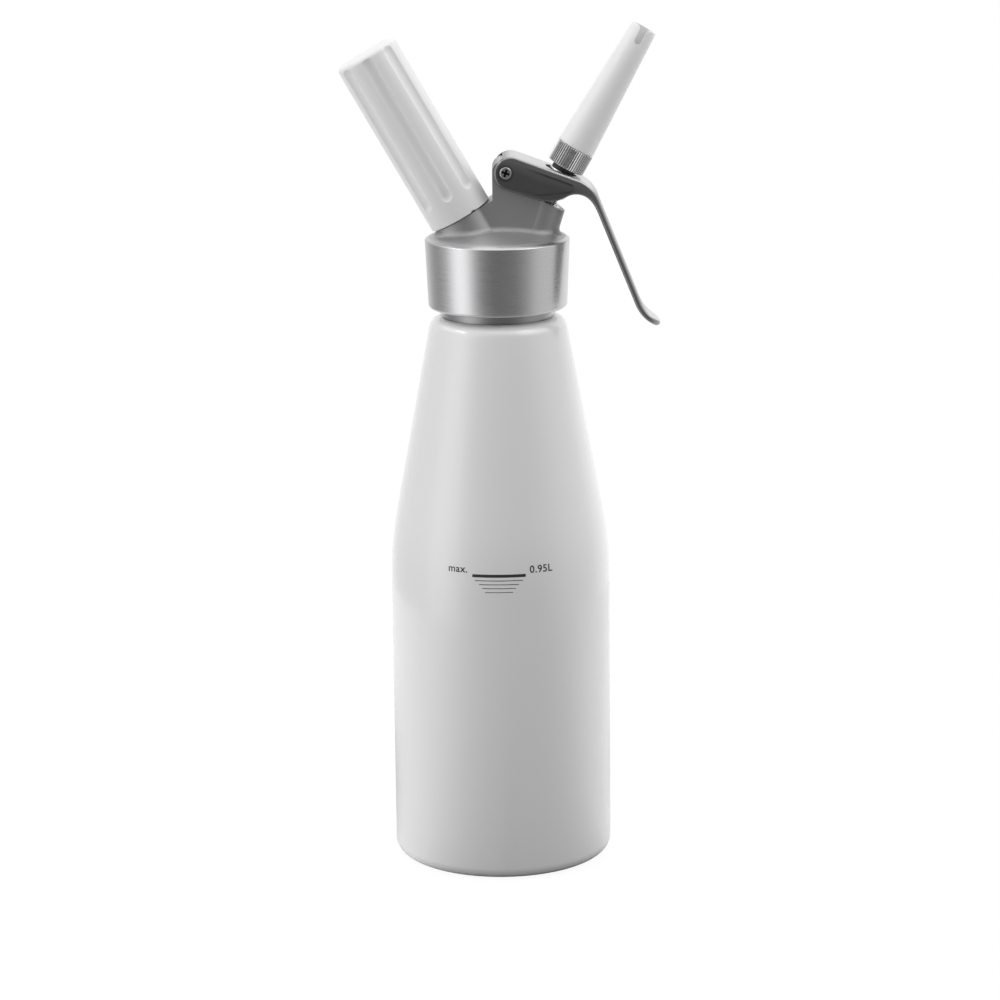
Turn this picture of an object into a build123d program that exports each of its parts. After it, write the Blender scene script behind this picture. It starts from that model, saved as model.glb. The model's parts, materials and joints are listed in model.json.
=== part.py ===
from build123d import *
from math import atan2, cos, radians, sin, tan
import os

os.makedirs("parts", exist_ok=True)

# A whipped cream dispenser: a lacquered bottle, and a screwed-on head that carries a gas charger's
# holder on one side, and on the other a lever that presses a valve with a decorating tip on it.
# The origin is the centre of the bottle's foot, +Z is up, and +X points to the lever's grip. Millimetres.

# ------------------------------------------------ bottle
bottle_radius = 48.5
bottle_wall = 1.5
foot_edge_radius = 5.3
foot_ring_inset = 9.0
dish_depth = 7.0
cone_start = 142.4
shoulder_height = 244.4
shoulder_corner_inset = 0.9
waist_blend = 160.0
shoulder_blend = 6.5
neck_radius = 22.6
neck_wall = 2.0
neck_ring_step = 1.6
neck_ring_height = 4.8
neck_height = 23.2
rim_round = 0.8

# ------------------------------------------------ head
skirt_gap = 3.8
skirt_height = 29.8
skirt_radius = 31.6
skirt_taper = 1.3
skirt_edge_round = 1.6
shoulder_bevel = 1.7
shoulder_bevel_rise = 1.1
skirt_shoulder_round = 0.5
dome_rise = 3.8
boss_root = 9.0
thread_room = 0.9
ring_room = 0.8
ring_relief = 2.6
gasket_thickness = 2.3
gasket_width = 3.7
gasket_room = 0.3

# ------------------------------------------------ lever pivot and tower
pivot_x = 3.9
pivot_height = 30.2
tower_back = -1.9
tower_cap_radius = 5.0
tower_inset = 0.3
tower_blend = 3.0
dome_blend = 3.0

# ------------------------------------------------ dispensing valve, along its own axis
valve_tilt = 30.0
valve_offset = 11.7
valve_boss_height = 19.3
valve_boss_radius = 9.4
valve_boss_lean = 17.4
guide_radius = 7.0
guide_length = 14.0
spring_well_radius = 5.5
spring_well_depth = 7.0
stem_radius = 3.6
stem_bore = 2.1
flow_bore = 5.0
valve_seat_depth = 33.0
valve_seat_radius = 6.4
flange_height = 4.0
flange_thickness = 1.2
flange_radius = 7.0
stem_neck_radius = 4.4
washer_height = 13.3
washer_thickness = 1.2
washer_radius = 5.6
tip_seal_thickness = 2.2
tip_seal_radius = 5.2
valve_seal_radius = 5.9
valve_seal_thickness = 2.4
valve_washer_thickness = 1.0
valve_washer_inset = 0.5
valve_nut_height = 3.6
valve_nut_flats = 8.0
guide_slot_width = 1.6
guide_slot_depth = 1.0
stem_end_radius = 2.5
o_ring_wire = 1.4
o_ring_height = -10.5
o_ring_slack = 0.4
stem_bore_end = -31.0
stem_port_radius = 1.3
stem_port_height = -28.0
stem_end_step = 1.4
spring_wire = 1.0
spring_turns = 4.5

# ------------------------------------------------ adapter and decorating tip
adapter_radius = 8.5
adapter_length = 9.5
adapter_thread_depth = 6.5
adapter_flow_radius = 2.6
adapter_corner = 0.5
knurl_count = 50
knurl_depth = 0.45
spigot_radius = 5.6
spigot_length = 7.5
spigot_room = 0.3
tip_length = 59.2
tip_base_radius = 8.35
tip_end_radius = 5.7
tip_wall = 1.25
tip_socket_step = 0.3
tooth_count = 5
tooth_length = 7.6
tooth_round = 1.4
slot_root_width = 2.7
slot_mouth_width = 3.6

# ------------------------------------------------ gas inlet and charger holder, along their own axis
charge_tilt = 29.7
charge_offset = -9.7
charge_boss_height = 11.75
charge_boss_radius = 12.7
nipple_radius = 10.4
nipple_length = 11.0
charger_recess_radius = 4.6
pin_plug_height = 6.0
pin_plug_top = -1.0
pin_radius = 0.9
pin_length = 4.2
gas_hole_radius = 1.1
gas_hole_offset = 2.6
gas_passage_radius = 1.5
charger_seal_thickness = 1.8
charger_seal_bore = 2.6
check_valve_radius = 2.8
check_valve_depth = 16.5
check_valve_length = 5.5
check_valve_bore = 0.9
check_valve_slot = 0.8
nipple_corner = 0.6
holder_radius = 14.2
holder_length = 81.2
holder_bore = 9.4
holder_floor = 9.0
holder_end_round = 2.2
holder_rim_round = 0.5
holder_floor_round = 4.0
holder_gap = 0.5
insert_wall = 1.6
insert_length = 13.6
insert_lip = 1.2
insert_room = 0.3
flute_count = 8
flute_radius = 5.0
flute_depth = 1.05
flute_start = 12.2
flute_end_gap = 4.0
vent_radius = 1.2
vent_height = 6.5

# ------------------------------------------------ lever
lever_room = 0.3
cheek_thickness = 2.1
web_slope = 20.5
grip_slope = 68.3
flick_slope = 36.0
web_top = 7.8
strap_thickness = 2.6
web_length = 37.3
grip_length = 60.3
flick_length = 10.1
web_bend = 15.0
flick_bend = 15.0
pivot_end_radius = 7.4
pivot_end_x = 2.3
pivot_end_w = 0.4
cheek_foot_back = 20.3
cheek_foot_drop = 14.2
cheek_turn_back = 8.8
cheek_turn_drop = 8.6
cheek_crest_back = 2.0
cheek_crest_drop = 5.8
cheek_fade = 14.0
cheek_border = 2.0
dish_start = 5.5
dish_depth_full = 1.0
dish_full = 20.0
lever_edge_round = 1.15
lever_hole_room = 1.0
lever_hole_stretch = 1.2
lever_hole_shift = -0.65
peg_radius = 2.0
peg_gap = 0.25
peg_reach = 5.0
grip_end_half_width = 8.6
grip_end_round = 6.0
screw_head_radius = 2.7
screw_head_height = 1.3
screw_recess_room = 0.9
screw_recess_depth = 1.1
screw_shoulder_radius = 1.9
screw_thread_radius = 1.25
screw_thread_length = 6.0
screw_cross_length = 3.4
screw_cross_width = 0.95
screw_cross_depth = 1.7
screw_edge_round = 0.7
washer_outer_radius = 4.4

# ------------------------------------------------ clearances
press_room = 0.02
running_room = 0.05
seal_room = 0.1
seat_room = 0.05

# ------------------------------------------------ places worked out from those
foot_ring_radius = bottle_radius - foot_ring_inset
neck_bore = neck_radius - neck_wall
neck_ring_radius = neck_radius + neck_ring_step
skirt_mouth_radius = skirt_radius - skirt_taper
shoulder_corner_radius = skirt_mouth_radius - shoulder_corner_inset
insert_outer_radius = nipple_radius + insert_room + insert_wall
spring_radius = (stem_radius + spring_well_radius) / 2
tower_half_width = valve_boss_radius - tower_inset
lever_inner_half = valve_boss_radius + lever_room
lever_half_width = lever_inner_half + cheek_thickness

skirt_bottom = shoulder_height + skirt_gap
skirt_top = skirt_bottom + skirt_height
neck_top = shoulder_height + neck_height
ceiling = neck_top + gasket_room + gasket_thickness
thread_bore = neck_radius + thread_room
pivot_z = skirt_top + pivot_height

valve_up = (sin(radians(valve_tilt)), 0, cos(radians(valve_tilt)))
valve_side = (cos(radians(valve_tilt)), 0, -sin(radians(valve_tilt)))
valve_origin = Vector(valve_offset, 0, skirt_top) + Vector(valve_up) * valve_boss_height
valve_section = Plane(origin=valve_origin, x_dir=valve_side, z_dir=(0, -1, 0))
valve_axis = Axis(valve_origin, valve_up)
valve_top = Plane(origin=valve_origin, x_dir=valve_side, z_dir=valve_up)

charge_up = (-sin(radians(charge_tilt)), 0, cos(radians(charge_tilt)))
charge_side = (cos(radians(charge_tilt)), 0, sin(radians(charge_tilt)))
charge_origin = Vector(charge_offset, 0, skirt_top) + Vector(charge_up) * charge_boss_height
charge_section = Plane(origin=charge_origin, x_dir=charge_side, z_dir=(0, -1, 0))
charge_axis = Axis(charge_origin, charge_up)
charge_top = Plane(origin=charge_origin, x_dir=charge_side, z_dir=charge_up)

lever_side = Plane(
    origin=(pivot_x, 0, pivot_z),
    x_dir=(cos(radians(web_slope)), 0, -sin(radians(web_slope))),
    z_dir=(0, -1, 0),
)
lever_web = Plane(
    origin=(pivot_x, 0, pivot_z),
    x_dir=lever_side.x_dir,
    z_dir=lever_side.y_dir,
)

adapter_foot = washer_height + washer_thickness + tip_seal_thickness + seal_room
adapter_head = adapter_foot + adapter_length
stem_top = adapter_foot + adapter_thread_depth


def turned_face(section, points):
    """The closed outline through (radius, height) points, on an axis's section plane."""
    with BuildSketch(section) as outline:
        with BuildLine():
            Polyline(*points, close=True)
        make_face()
    return outline.sketch


def ring_face(section, inner, outer, low, high):
    """A rectangle from radius inner to outer and from height low to high on an axis's section plane."""
    return turned_face(section, [(inner, low), (outer, low), (outer, high), (inner, high)])


def bottle_face(inset):
    """Half the bottle's section up to its shoulder, moved in from the outside by inset."""
    cone_lean = atan2(bottle_radius - shoulder_corner_radius, shoulder_height - cone_start)
    waist_drop = inset * tan(cone_lean / 2)
    shoulder_shift = inset * tan(radians(45) - cone_lean / 2)
    dish_sphere = (foot_ring_radius**2 + dish_depth**2) / (2 * dish_depth)
    with BuildSketch(Plane.XZ) as outline:
        with BuildLine():
            RadiusArc((0, dish_depth + inset), (foot_ring_radius, inset), dish_sphere)
            FilletPolyline(
                (foot_ring_radius, inset),
                (bottle_radius - inset, inset),
                (bottle_radius - inset, cone_start - waist_drop),
                (shoulder_corner_radius - shoulder_shift, shoulder_height - inset),
                (0, shoulder_height - inset),
                radius=(foot_edge_radius - inset, waist_blend - inset, shoulder_blend - inset),
            )
            Line((0, shoulder_height - inset), (0, dish_depth + inset))
        make_face()
    return outline.sketch


# ------------------------------------------------ bottle: one drawn shell with a thick neck
with BuildPart() as bottle:
    revolve(bottle_face(0), axis=Axis.Z)
    ring_top = shoulder_height + neck_ring_height
    revolve(ring_face(Plane.XZ, 0, neck_ring_radius, shoulder_height - bottle_wall, ring_top), axis=Axis.Z)
    revolve(ring_face(Plane.XZ, 0, neck_radius, shoulder_height, neck_top), axis=Axis.Z)
    revolve(bottle_face(bottle_wall), axis=Axis.Z, mode=Mode.SUBTRACT)
    neck_hole = ring_face(Plane.XZ, 0, neck_bore, shoulder_height - 2 * bottle_wall, neck_top)
    revolve(neck_hole, axis=Axis.Z, mode=Mode.SUBTRACT)
    fillet(bottle.edges().filter_by(GeomType.CIRCLE).group_by(Axis.Z)[-1], rim_round)
bottle.part.label = "bottle"
export_step(bottle.part, "parts/bottle.step")

# ------------------------------------------------ head: skirt, dome, charger boss, tower, valve boss
# Both bosses' rims face along slanted axes, and the valve's boss leans less than its bore. The tower
# between them is a flat-sided web that runs into both.
bevel_top = (skirt_radius - shoulder_bevel, skirt_top + shoulder_bevel_rise)
dome_top = (0, skirt_top + shoulder_bevel_rise + dome_rise)
dome_sphere = (bevel_top[0] ** 2 + dome_rise**2) / (2 * dome_rise)
tower_cap_right = tower_back + 2 * tower_cap_radius
tower_foot = charge_origin.Z + (tower_back - charge_origin.X) * tan(radians(charge_tilt))
boss_rim = valve_origin - Vector(valve_side) * valve_boss_radius
boss_lean = radians(valve_boss_lean)
boss_foot_x = valve_origin.X - (valve_origin.Z - skirt_top) * tan(boss_lean)

with BuildPart() as head_housing:
    with BuildSketch(Plane.XZ):
        with BuildLine():
            RadiusArc(bevel_top, dome_top, -dome_sphere)
            FilletPolyline(
                (0, skirt_bottom),
                (skirt_mouth_radius, skirt_bottom),
                (skirt_radius, skirt_top),
                bevel_top,
                radius=(skirt_edge_round, skirt_shoulder_round),
            )
            Line(dome_top, (0, skirt_bottom))
        make_face()
    revolve(axis=Axis.Z)
    with BuildSketch(Plane.XZ):
        with BuildLine():
            RadiusArc((tower_back, pivot_z), (tower_cap_right, pivot_z), tower_cap_radius)
            Polyline(
                (tower_cap_right, pivot_z),
                (boss_rim.X, boss_rim.Z),
                (valve_origin.X, valve_origin.Z),
                (boss_foot_x, skirt_top),
                (charge_offset, skirt_top),
                (charge_origin.X, charge_origin.Z),
                (tower_back, tower_foot),
                (tower_back, pivot_z),
            )
        make_face()
    extrude(amount=tower_half_width, both=True)
    with BuildSketch(valve_top):
        Circle(valve_boss_radius)
    extrude(amount=valve_boss_height + boss_root, dir=(-sin(boss_lean), 0, -cos(boss_lean)))
    revolve(
        ring_face(charge_section, 0, charge_boss_radius, -charge_boss_height - boss_root, 0),
        axis=charge_axis,
    )

    # where the tower meets the bosses, then the foot of the whole block on the dome
    upright = head_housing.edges().filter_by(
        lambda edge: edge.bounding_box().size.Z > valve_boss_height / 2
        and edge.bounding_box().size.Y < running_room
        and edge.bounding_box().size.X > dome_blend
        and abs(edge.center().Y) > tower_half_width - running_room
        and edge.center().Z < tower_foot - tower_blend
    )
    fillet(upright, tower_blend)
    foot = head_housing.edges().filter_by(
        lambda edge: bevel_top[1] < edge.bounding_box().min.Z
        and edge.bounding_box().max.Z < dome_top[1] + dome_blend
        and edge.bounding_box().max.X < skirt_mouth_radius - dome_blend
        and edge.bounding_box().min.X > dome_blend - skirt_mouth_radius
        and (edge.bounding_box().size.Y > running_room or abs(edge.center().Y) > running_room)
    )
    fillet(foot, dome_blend)
    # inside: thread, relief round the bottle's neck ring, and the flat ceiling that the gasket lies on
    revolve(ring_face(Plane.XZ, 0, thread_bore, skirt_bottom, ceiling), axis=Axis.Z, mode=Mode.SUBTRACT)
    relief = ring_face(Plane.XZ, 0, neck_ring_radius + ring_room, skirt_bottom, skirt_bottom + ring_relief)
    revolve(relief, axis=Axis.Z, mode=Mode.SUBTRACT)

    # valve: seat ring under the ceiling, bore for the screwed-in guide, and the cream's way up
    revolve(
        ring_face(valve_section, 0, valve_seat_radius, -valve_seat_depth, -guide_length),
        axis=valve_axis,
    )
    revolve(
        ring_face(valve_section, 0, guide_radius + press_room, -guide_length, 0),
        axis=valve_axis,
        mode=Mode.SUBTRACT,
    )
    revolve(
        ring_face(valve_section, 0, flow_bore, -valve_seat_depth, -guide_length),
        axis=valve_axis,
        mode=Mode.SUBTRACT,
    )

    # gas inlet: nipple, recess for the charger's neck, and the passage down through the check valve
    with BuildSketch(charge_section):
        with BuildLine():
            Polyline(
                (0, -nipple_corner),
                (nipple_radius, -nipple_corner),
                (nipple_radius, nipple_length - nipple_corner),
                (nipple_radius - nipple_corner, nipple_length),
                (0, nipple_length),
                close=True,
            )
        make_face()
    revolve(axis=charge_axis)
    inlet_steps = [
        (charger_recess_radius, pin_plug_top - pin_plug_height, nipple_length),
        (gas_passage_radius, -check_valve_depth, pin_plug_top - pin_plug_height),
        (check_valve_radius, -check_valve_depth - check_valve_length, -check_valve_depth),
    ]
    for radius, low, high in inlet_steps:
        revolve(ring_face(charge_section, 0, radius, low, high), axis=charge_axis, mode=Mode.SUBTRACT)

    # blind holes for the pivot screws
    for side in (-1, 1):
        with BuildSketch(lever_side.offset(side * (tower_half_width - screw_thread_length - press_room))):
            Circle(screw_thread_radius + press_room)
        extrude(amount=side * (screw_thread_length + press_room), mode=Mode.SUBTRACT)
head_housing.part.label = "head_housing"
export_step(head_housing.part, "parts/head_housing.step")

with BuildPart() as head_gasket:
    gasket_outer = thread_bore - seal_room
    revolve(
        ring_face(Plane.XZ, gasket_outer - gasket_width, gasket_outer, ceiling - gasket_thickness, ceiling),
        axis=Axis.Z,
    )
head_gasket.part.label = "head_gasket"
export_step(head_gasket.part, "parts/head_gasket.step")

# ------------------------------------------------ gas inlet's own pieces
with BuildPart() as pierce_pin:
    plug_radius = charger_recess_radius - press_room
    revolve(
        ring_face(charge_section, 0, plug_radius, pin_plug_top - pin_plug_height, pin_plug_top),
        axis=charge_axis,
    )
    with BuildSketch(charge_section):
        with BuildLine():
            Polyline(
                (0, pin_plug_top - press_room),
                (pin_radius, pin_plug_top - press_room),
                (pin_radius, pin_plug_top + pin_length - 2 * pin_radius),
                (0, pin_plug_top + pin_length),
                close=True,
            )
        make_face()
    revolve(axis=charge_axis)
    with BuildSketch(charge_top.offset(pin_plug_top)):
        with Locations((gas_hole_offset, 0)):
            Circle(gas_hole_radius)
    extrude(amount=-pin_plug_height, mode=Mode.SUBTRACT)
pierce_pin.part.label = "pierce_pin"
export_step(pierce_pin.part, "parts/pierce_pin.step")

with BuildPart() as charger_seal:
    seal_outer = charger_recess_radius - seal_room
    seal_top = pin_plug_top + charger_seal_thickness
    revolve(
        ring_face(charge_section, charger_seal_bore, seal_outer, pin_plug_top, seal_top),
        axis=charge_axis,
    )
charger_seal.part.label = "charger_seal"
export_step(charger_seal.part, "parts/charger_seal.step")

with BuildPart() as check_valve:
    valve_foot = -check_valve_depth - check_valve_length
    body_radius = check_valve_radius - press_room
    revolve(
        ring_face(charge_section, check_valve_bore, body_radius, valve_foot, -check_valve_depth),
        axis=charge_axis,
    )
    with BuildSketch(charge_top.offset(valve_foot)):
        Rectangle(2 * check_valve_radius, check_valve_slot)
    extrude(amount=check_valve_slot, mode=Mode.SUBTRACT)
check_valve.part.label = "check_valve"
export_step(check_valve.part, "parts/check_valve.step")

# ------------------------------------------------ valve guide, its O-ring and the return spring
with BuildPart() as valve_guide:
    guide_bore = stem_radius + running_room
    revolve(ring_face(valve_section, guide_bore, guide_radius, -guide_length, 0), axis=valve_axis)
    well = ring_face(valve_section, 0, spring_well_radius, -spring_well_depth, 0)
    revolve(well, axis=valve_axis, mode=Mode.SUBTRACT)
    groove_half = (o_ring_wire + o_ring_slack) / 2
    groove = ring_face(
        valve_section,
        0,
        guide_bore + o_ring_wire + press_room,
        o_ring_height - groove_half,
        o_ring_height + groove_half,
    )
    revolve(groove, axis=valve_axis, mode=Mode.SUBTRACT)
    with BuildSketch(valve_top):
        Rectangle(guide_slot_width, 2 * guide_radius)
    extrude(amount=-guide_slot_depth, mode=Mode.SUBTRACT)
valve_guide.part.label = "valve_guide"
export_step(valve_guide.part, "parts/valve_guide.step")

with BuildPart() as guide_o_ring:
    with BuildSketch(valve_section):
        with Locations((guide_bore + o_ring_wire / 2, o_ring_height)):
            Circle(o_ring_wire / 2)
    revolve(axis=valve_axis)
guide_o_ring.part.label = "guide_o_ring"
export_step(guide_o_ring.part, "parts/guide_o_ring.step")

with BuildPart() as return_spring:
    coil_low = -spring_well_depth + spring_wire / 2 + seat_room
    coil_high = flange_height - spring_wire / 2 - seat_room
    with BuildLine() as coil:
        Helix(
            pitch=(coil_high - coil_low) / spring_turns,
            height=coil_high - coil_low,
            radius=spring_radius,
            center=valve_origin + Vector(valve_up) * coil_low,
            direction=valve_up,
        )
    with BuildSketch(Plane(origin=coil.line @ 0, z_dir=coil.line % 0)):
        Circle(spring_wire / 2)
    sweep(path=coil.line)
return_spring.part.label = "return_spring"
export_step(return_spring.part, "parts/return_spring.step")

# ------------------------------------------------ valve stem and what is clamped on it
with BuildPart() as valve_stem:
    disc_top = -valve_seat_depth - seal_room
    stem_foot = disc_top - valve_seal_thickness - valve_washer_thickness - valve_nut_height - stem_end_step
    with BuildSketch(valve_section):
        with BuildLine():
            Polyline(
                (0, stem_foot),
                (stem_end_radius, stem_foot),
                (stem_end_radius, disc_top),
                (stem_radius, disc_top),
                (stem_radius, flange_height),
                (flange_radius, flange_height),
                (flange_radius, flange_height + flange_thickness),
                (stem_neck_radius, flange_height + flange_thickness),
                (stem_neck_radius, washer_height),
                (stem_radius, washer_height),
                (stem_radius, stem_top),
                (stem_bore, stem_top),
                (stem_bore, stem_bore_end),
                (0, stem_bore_end),
                close=True,
            )
        make_face()
    revolve(axis=valve_axis)
    for port in (valve_section, valve_section.rotated((0, 90, 0))):
        with BuildSketch(port):
            with Locations((0, stem_port_height)):
                Circle(stem_port_radius)
        extrude(amount=stem_radius, both=True, mode=Mode.SUBTRACT)
valve_stem.part.label = "valve_stem"
export_step(valve_stem.part, "parts/valve_stem.step")

with BuildPart() as tip_washer:
    washer_top = washer_height + washer_thickness
    washer_bore = stem_radius + press_room
    revolve(
        ring_face(valve_section, washer_bore, washer_radius, washer_height, washer_top),
        axis=valve_axis,
    )
    outer_rims = tip_washer.edges().filter_by(GeomType.CIRCLE).group_by(SortBy.RADIUS)[-1]
    fillet(outer_rims, washer_thickness / 3)
tip_washer.part.label = "tip_washer"
export_step(tip_washer.part, "parts/tip_washer.step")

with BuildPart() as tip_seal:
    tip_seal_top = washer_top + tip_seal_thickness
    revolve(
        ring_face(valve_section, washer_bore, tip_seal_radius, washer_top, tip_seal_top),
        axis=valve_axis,
    )
tip_seal.part.label = "tip_seal"
export_step(tip_seal.part, "parts/tip_seal.step")

with BuildPart() as valve_seal:
    disc_bore = stem_end_radius + press_room
    disc_foot = disc_top - valve_seal_thickness
    revolve(ring_face(valve_section, disc_bore, valve_seal_radius, disc_foot, disc_top), axis=valve_axis)
valve_seal.part.label = "valve_seal"
export_step(valve_seal.part, "parts/valve_seal.step")

with BuildPart() as valve_washer:
    backing_radius = valve_seal_radius - valve_washer_inset
    backing_foot = disc_foot - valve_washer_thickness
    revolve(
        ring_face(valve_section, disc_bore, backing_radius, backing_foot, disc_foot),
        axis=valve_axis,
    )
valve_washer.part.label = "valve_washer"
export_step(valve_washer.part, "parts/valve_washer.step")

with BuildPart() as valve_nut:
    with BuildSketch(valve_top.offset(backing_foot)):
        RegularPolygon(valve_nut_flats / 2, 6, major_radius=False)
        Circle(disc_bore, mode=Mode.SUBTRACT)
    extrude(amount=-valve_nut_height)
valve_nut.part.label = "valve_nut"
export_step(valve_nut.part, "parts/valve_nut.step")

# ------------------------------------------------ tip adapter: knurled ring with a spigot for the tip
with BuildPart() as tip_adapter:
    with BuildSketch(valve_section):
        with BuildLine():
            Polyline(
                (0, adapter_foot),
                (adapter_radius - adapter_corner, adapter_foot),
                (adapter_radius, adapter_foot + adapter_corner),
                (adapter_radius, adapter_head - adapter_corner),
                (adapter_radius - adapter_corner, adapter_head),
                (0, adapter_head),
                close=True,
            )
        make_face()
    revolve(axis=valve_axis)
    with BuildSketch(valve_top.offset(adapter_foot)):
        with PolarLocations(adapter_radius - knurl_depth, knurl_count):
            groove_mouth = 2 * knurl_depth
            Polygon((0, 0), (groove_mouth, groove_mouth), (groove_mouth, -groove_mouth), align=None)
    extrude(amount=adapter_length, mode=Mode.SUBTRACT)
    revolve(
        ring_face(valve_section, 0, spigot_radius, adapter_head, adapter_head + spigot_length),
        axis=valve_axis,
    )
    flow_way = ring_face(valve_section, 0, adapter_flow_radius, adapter_foot, adapter_head + spigot_length)
    revolve(flow_way, axis=valve_axis, mode=Mode.SUBTRACT)
    stem_socket = ring_face(valve_section, 0, washer_bore, adapter_foot, stem_top + seal_room)
    revolve(stem_socket, axis=valve_axis, mode=Mode.SUBTRACT)
tip_adapter.part.label = "tip_adapter"
export_step(tip_adapter.part, "parts/tip_adapter.step")

# ------------------------------------------------ decorating tip: tapered cone with a crown of teeth
tip_foot = adapter_head + seal_room
tip_end = tip_foot + tip_length
socket_end = adapter_head + spigot_length + spigot_room

with BuildPart() as tip_nozzle:
    with BuildSketch(valve_section):
        with BuildLine():
            Polyline(
                (spigot_radius + spigot_room, tip_foot),
                (tip_base_radius, tip_foot),
                (tip_end_radius, tip_end),
                (tip_end_radius - tip_wall, tip_end),
                (spigot_radius - tip_socket_step, socket_end),
                (spigot_radius + spigot_room, socket_end),
                close=True,
            )
        make_face()
    revolve(axis=valve_axis)
    for step in range(tooth_count):
        with BuildSketch(valve_section.rotated((0, step * 360 / tooth_count, 0))):
            with BuildLine():
                FilletPolyline(
                    (-slot_mouth_width / 2, tip_end),
                    (-slot_root_width / 2, tip_end - tooth_length),
                    (slot_root_width / 2, tip_end - tooth_length),
                    (slot_mouth_width / 2, tip_end),
                    radius=slot_root_width / 2 - running_room,
                )
                Line((slot_mouth_width / 2, tip_end), (-slot_mouth_width / 2, tip_end))
            make_face()
        extrude(amount=tip_base_radius, mode=Mode.SUBTRACT)
    tooth_corners = tip_nozzle.edges().filter_by(GeomType.LINE).filter_by(
        lambda edge: edge.length < 2 * tip_wall
        and (edge.center() - valve_origin).dot(Vector(valve_up)) > tip_end - running_room
    )
    fillet(tooth_corners, tooth_round)
tip_nozzle.part.label = "tip_nozzle"
export_step(tip_nozzle.part, "parts/tip_nozzle.step")

# ------------------------------------------------ charger holder and its threaded insert
holder_top = holder_gap + holder_length
insert_foot = holder_gap + insert_lip
insert_top = insert_foot + insert_length
insert_socket = insert_outer_radius + press_room

with BuildPart() as holder_shell:
    with BuildSketch(charge_section):
        with BuildLine():
            FilletPolyline(
                (0, holder_top - holder_floor),
                (holder_bore, holder_top - holder_floor),
                (holder_bore, insert_top),
                (insert_socket, insert_top),
                (insert_socket, holder_gap),
                (holder_radius, holder_gap),
                (holder_radius, holder_top),
                (0, holder_top),
                radius=(holder_floor_round, 0, 0, holder_rim_round, holder_rim_round, holder_end_round),
            )
            Line((0, holder_top), (0, holder_top - holder_floor))
        make_face()
    revolve(axis=charge_axis)

    # flutes: the groove of a ball-nosed cutter run up the side at each place
    cutter_reach = holder_radius + flute_radius - flute_depth
    cutter_low = holder_gap + flute_start
    cutter_high = holder_top - flute_end_gap
    for height in (cutter_low, cutter_high):
        with Locations(charge_top.offset(height)):
            with PolarLocations(cutter_reach, flute_count):
                Sphere(flute_radius, mode=Mode.SUBTRACT)
    with BuildSketch(charge_top.offset(cutter_low)):
        with PolarLocations(cutter_reach, flute_count):
            Circle(flute_radius)
    extrude(amount=cutter_high - cutter_low, mode=Mode.SUBTRACT)

    # vent through the wall, towards the lever
    with BuildSketch(charge_section.rotated((0, 90, 0))):
        with Locations((0, vent_height)):
            Circle(vent_radius)
    extrude(amount=holder_radius, mode=Mode.SUBTRACT)
holder_shell.part.label = "holder_shell"
export_step(holder_shell.part, "parts/holder_shell.step")

with BuildPart() as holder_insert:
    insert_bore = nipple_radius + insert_room
    revolve(
        ring_face(charge_section, insert_bore, insert_outer_radius, insert_foot, insert_top),
        axis=charge_axis,
    )
    with BuildSketch(charge_section.rotated((0, 90, 0))):
        with Locations((0, vent_height)):
            Circle(vent_radius)
    extrude(amount=holder_radius, mode=Mode.SUBTRACT)
holder_insert.part.label = "holder_insert"
export_step(holder_insert.part, "parts/holder_insert.step")

# ------------------------------------------------ lever: cheeks, top web, bent grip with a flicked end
grip_lean = radians(grip_slope - web_slope)
flick_lean = radians(flick_slope - web_slope)
web_corner = (web_length, web_top)
grip_corner = (web_length + grip_length * cos(grip_lean), web_top - grip_length * sin(grip_lean))
flick_end = (
    grip_corner[0] + flick_length * cos(flick_lean),
    grip_corner[1] - flick_length * sin(flick_lean),
)
web_bend_run = web_bend * tan(grip_lean / 2)
web_bend_start = (web_length - web_bend_run, web_top)
web_bend_end = (web_length + web_bend_run * cos(grip_lean), web_top - web_bend_run * sin(grip_lean))
web_underside = web_top - strap_thickness
cheek_foot = (web_length - cheek_foot_back, web_top - cheek_foot_drop)
cheek_turn = (web_length - cheek_turn_back, web_top - cheek_turn_drop)
cheek_crest = (web_length - cheek_crest_back, web_top - cheek_crest_drop)
strap_run = (cos(grip_lean), -sin(grip_lean))
cheek_merge = (
    web_length - strap_thickness * sin(grip_lean) + cheek_fade * strap_run[0],
    web_top - strap_thickness * cos(grip_lean) + cheek_fade * strap_run[1],
)
grip_run = grip_length + flick_length * cos(grip_lean - flick_lean)
grip_plane = Plane(
    origin=lever_side.from_local_coords((web_corner[0], web_corner[1], 0)),
    x_dir=(cos(radians(grip_slope)), 0, -sin(radians(grip_slope))),
    z_dir=(sin(radians(grip_slope)), 0, cos(radians(grip_slope))),
)
peg_rise = flange_height + flange_thickness + peg_gap + peg_radius
peg_centre = lever_side.to_local_coords(valve_section.from_local_coords((0, peg_rise, 0)))
boss_centre = lever_side.to_local_coords(valve_origin)
valve_slant = tan(radians(valve_tilt - web_slope))
web_hole_u = boss_centre.X + (web_top - boss_centre.Y) * valve_slant + lever_hole_shift

with BuildSketch(lever_side) as web_outline:
    with BuildLine():
        FilletPolyline(
            (pivot_end_x, web_top), web_corner, grip_corner, flick_end, radius=(web_bend, flick_bend)
        )
        offset(amount=strap_thickness, side=Side.RIGHT)
    make_face()
    with Locations((pivot_end_x, pivot_end_w)):
        Circle(pivot_end_radius)
    with Locations((pivot_end_x, web_underside - pivot_end_radius)):
        Rectangle(2 * pivot_end_radius, 2 * pivot_end_radius, mode=Mode.SUBTRACT)

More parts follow.
